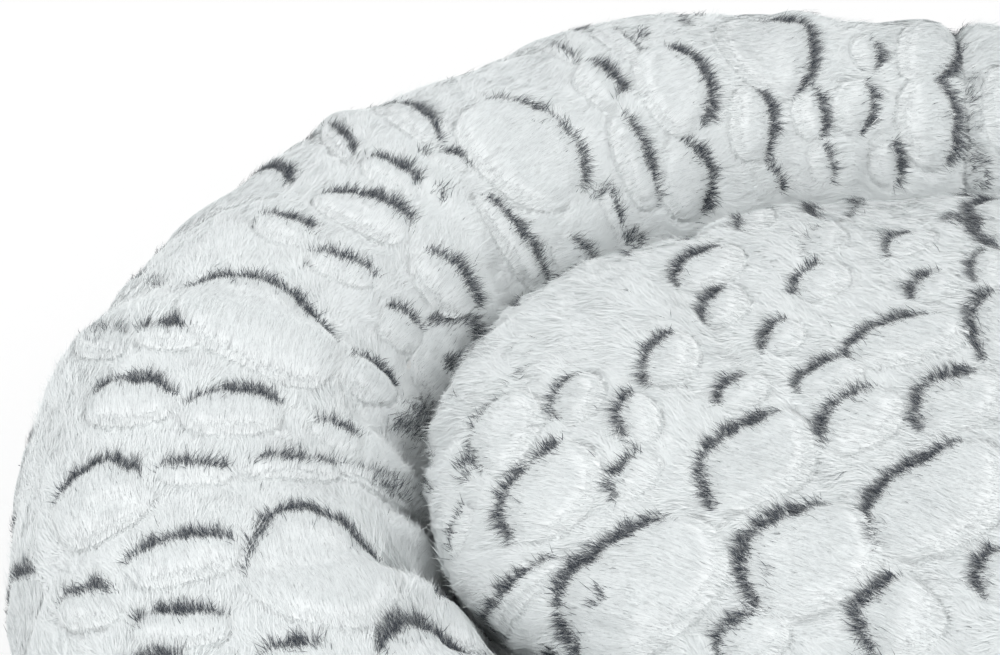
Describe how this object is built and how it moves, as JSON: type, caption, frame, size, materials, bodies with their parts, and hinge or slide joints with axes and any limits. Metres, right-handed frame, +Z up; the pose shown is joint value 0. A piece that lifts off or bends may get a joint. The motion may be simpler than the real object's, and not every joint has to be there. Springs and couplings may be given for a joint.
{
  "type": "oval pet bed",
  "caption": "Oval plush pet bed with a thick stuffed rim, a crowned loose cushion, a non-slip base and a filling zip low on the back wall.",
  "frame": {"origin": "on the floor, under the middle of the bed", "axes": "+X along the bed's length, +Y to the back, +Z up"},
  "size_m": [0.8, 0.6478, 0.162],
  "materials": {
    "rim_plush": "long white faux fur with embossed ovals and charcoal fringes",
    "cushion_plush": "long white faux fur with embossed ovals and charcoal fringes",
    "lining": "plain woven polyester",
    "non_slip_fabric": "woven fabric with small rubber dots",
    "wadding": "loose polyester fibre",
    "zip_tape": "woven tape",
    "zip_teeth": "moulded, satin",
    "zip_metal": "nickel-plated, worn satin"
  },
  "bodies": {
    "bed": {"base_panel": "non_slip_fabric", "base_padding": "wadding", "base_deck": "lining", "bolster_cover_left": "rim_plush", "bolster_cover_right": "rim_plush", "bolster_filling": "wadding", "zip_tape_upper": "zip_tape", "zip_tape_lower": "zip_tape", "zip_teeth_upper": "zip_teeth", "zip_teeth_lower": "zip_teeth", "zip_stop_closed_upper": "zip_metal", "zip_stop_closed_lower": "zip_metal", "zip_stop_open": "zip_metal"},
    "zip_slider": {"zip_slider": "zip_metal"},
    "zip_pull": {"zip_pull": "zip_metal"},
    "cushion": {"cushion_top": "cushion_plush", "cushion_underside": "lining", "cushion_filling": "wadding"}
  },
  "joints": [
    {"name": "cushion_lift", "type": "slide", "parent": "bed", "child": "cushion", "axis": [0, 0, 1], "range_m": [0, 0.2]},
    {"name": "zip_run", "type": "hinge", "parent": "bed", "child": "zip_slider", "pos_m": [0, -0.14531, 0.0283], "axis": [0, 0, 1], "range_deg": [0, 18], "deforming": ["zip_teeth_upper", "zip_teeth_lower"]},
    {"name": "pull_flip", "type": "hinge", "parent": "zip_slider", "child": "zip_pull", "pos_m": [-0.05656, 0.31423, 0.02835], "axis": [0.0536, -0.4353, -0.8987], "range_deg": [0, 175]}
  ]
}
